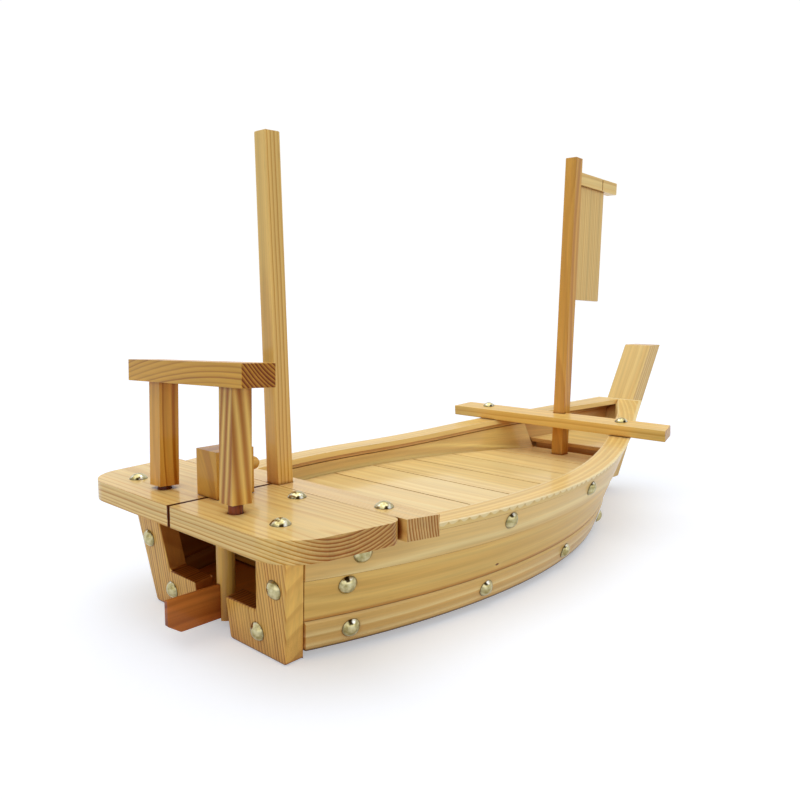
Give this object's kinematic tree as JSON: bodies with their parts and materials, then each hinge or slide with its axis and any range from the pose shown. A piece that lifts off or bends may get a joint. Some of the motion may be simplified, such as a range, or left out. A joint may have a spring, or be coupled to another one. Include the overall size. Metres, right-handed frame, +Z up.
{
  "type": "sushi boat",
  "caption": "Varnished pine serving boat with curved planked sides, a slatted food well, stern deck and gate, turning rudder, lift-out masts with a plank flag, and brass dome nails.",
  "frame": {"origin": "on the table, in the boat's middle plane, under the widest section of the gunwales", "axes": "+X forward to the bow, +Y to port, +Z up"},
  "size_m": [0.5934, 0.2303, 0.322],
  "materials": {
    "pine": "gloss varnish",
    "pine_pale": "gloss varnish",
    "pine_red": "satin varnish",
    "brass_nail": "polished"
  },
  "bodies": {
    "hull": {"keel_strip": "pine", "bottom_board": "pine", "stem": "pine_pale", "stern_bulkhead": "pine", "bow_ramp": "pine_pale", "mast_beam": "pine", "aft_mast_step": "pine", "fore_mast_step": "pine", "crossbar": "pine", "deck_nails": "brass_nail", "beam_nails": "brass_nail", "transom_nails": "brass_nail", "crossbar_nails": "brass_nail", "transom_port": "pine", "transom_starboard": "pine", "lower_wale_port": "pine", "lower_wale_starboard": "pine", "middle_strake_port": "pine", "middle_strake_starboard": "pine", "upper_strake_port": "pine_pale", "upper_strake_starboard": "pine_pale", "lining_port": "pine", "lining_starboard": "pine", "beam_shelf_port": "pine", "beam_shelf_starboard": "pine", "floor_ledge_port": "pine", "floor_ledge_starboard": "pine", "gunwale_cap_port": "pine_pale", "gunwale_cap_starboard": "pine_pale", "deck_port": "pine", "deck_starboard": "pine", "side_nails_port": "brass_nail", "side_nails_starboard": "brass_nail", "floor_slat_1": "pine_pale", "floor_slat_2": "pine_pale", "floor_slat_3": "pine_pale", "floor_slat_4": "pine_pale", "floor_slat_5": "pine_pale", "floor_slat_6": "pine_pale", "floor_slat_7": "pine_pale", "floor_slat_8": "pine_pale"},
    "rudder": {"rudder_stock": "pine", "rudder_blade": "pine_red", "rudder_head": "pine", "tiller_peg": "pine"},
    "gate": {"gate_bar": "pine", "gate_post_port": "pine", "gate_post_starboard": "pine", "gate_dowel_port": "pine_red", "gate_dowel_starboard": "pine_red"},
    "aft_mast": {"aft_mast": "pine"},
    "fore_mast": {"fore_mast": "pine", "flag_bar": "pine_pale", "flag_plank": "pine_pale"}
  },
  "joints": [
    {"name": "rudder_turn", "type": "hinge", "parent": "hull", "child": "rudder", "pos_m": [-0.169, 0, 0], "axis": [0, 0, 1], "range_deg": [-35, 35]},
    {"name": "gate_lift", "type": "slide", "parent": "hull", "child": "gate", "axis": [0.0484, 0.0404, 0.998], "range_m": [0, 0.03]},
    {"name": "aft_mast_lift", "type": "slide", "parent": "hull", "child": "aft_mast", "axis": [-0.0297, 0, 0.9996], "range_m": [0, 0.06]},
    {"name": "fore_mast_lift", "type": "slide", "parent": "hull", "child": "fore_mast", "axis": [0.0297, 0, 0.9996], "range_m": [0, 0.06]}
  ]
}
